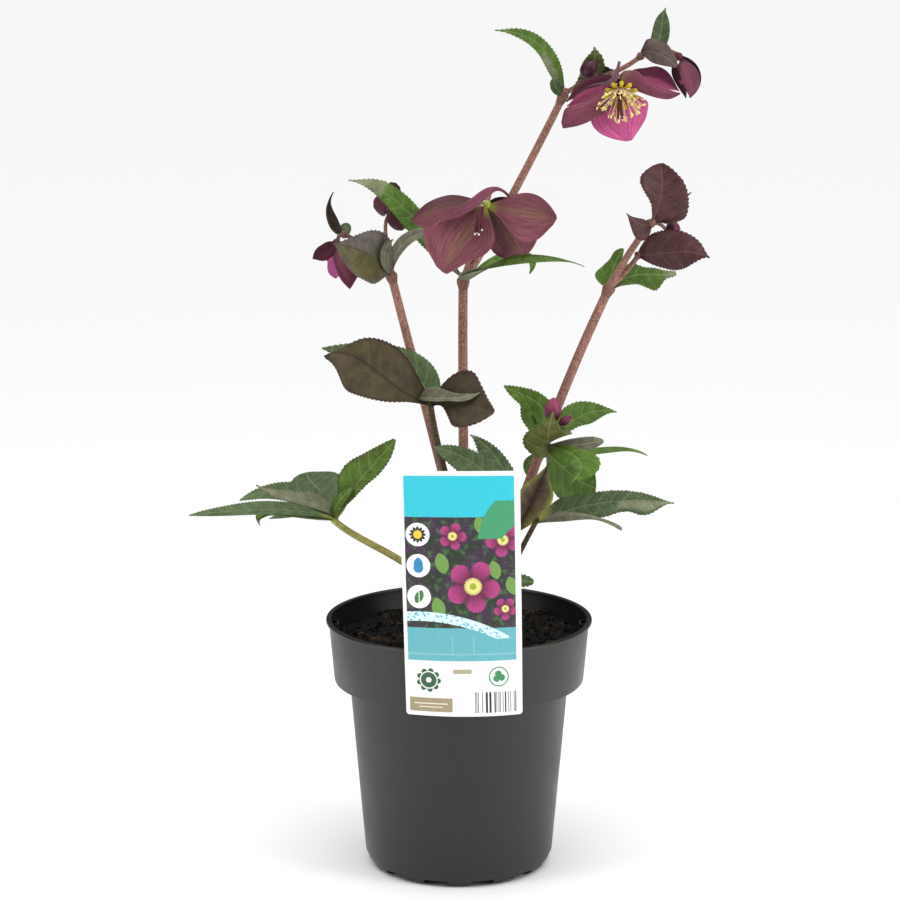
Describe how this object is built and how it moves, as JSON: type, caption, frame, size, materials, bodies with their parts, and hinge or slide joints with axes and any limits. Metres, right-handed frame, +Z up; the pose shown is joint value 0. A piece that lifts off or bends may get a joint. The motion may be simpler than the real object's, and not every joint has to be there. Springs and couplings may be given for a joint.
{
  "type": "potted hellebore plant",
  "caption": "Hellebore in a round nursery pot: open and nodding flowers on tall leafy stems, divided root leaves with toothed edges, and a card label hooked over the rim.",
  "frame": {"origin": "centre of the pot's base, on the surface that the pot stands on", "axes": "+Z up the pot's axis, the label towards -Y, the tallest stem leaning towards +X"},
  "size_m": [0.379, 0.2016, 0.6433],
  "materials": {
    "pot": "satin moulded plastic",
    "soil": "damp fibrous peat",
    "label": "printed and lightly glossy",
    "stem": "smooth, speckled",
    "leaf": "satin, net-veined",
    "bronze_leaf": "satin, net-veined",
    "bronze_bract": "glossy, net-veined",
    "old_sepal": "soft matt",
    "fresh_sepal": "soft matt",
    "dark_sepal": "soft matt",
    "stamen": "powdery",
    "style": "waxy",
    "bud": "waxy"
  },
  "bodies": {
    "root": {"pot": "pot", "soil": "soil", "label": "label", "stem_centre": "stem", "stem_left": "stem", "stem_right": "stem", "leaf_basal": "leaf", "leaf_left": "bronze_leaf", "leaf_centre": "leaf", "leaf_right": "leaf", "bracts_centre_lower": "leaf", "bracts_centre_upper": "leaf", "bracts_centre_top": "bronze_leaf", "bracts_left_top": "bronze_leaf", "bracts_left_outer": "bronze_bract", "bracts_right_branch": "leaf", "bracts_right_top": "bronze_bract", "bract_right_side": "bronze_bract", "bracts_right_mid": "leaf", "bract_right_low": "bronze_bract", "sepals_front": "old_sepal", "sepals_top": "fresh_sepal", "sepals_bell": "dark_sepal", "sepals_outer": "dark_sepal", "sepals_back": "dark_sepal", "carpels_front": "style", "styles_top": "style", "stamens_top": "stamen", "bud_top": "bud", "bud_right": "bud", "bud_mid_large": "bud"}
  },
  "joints": []
}
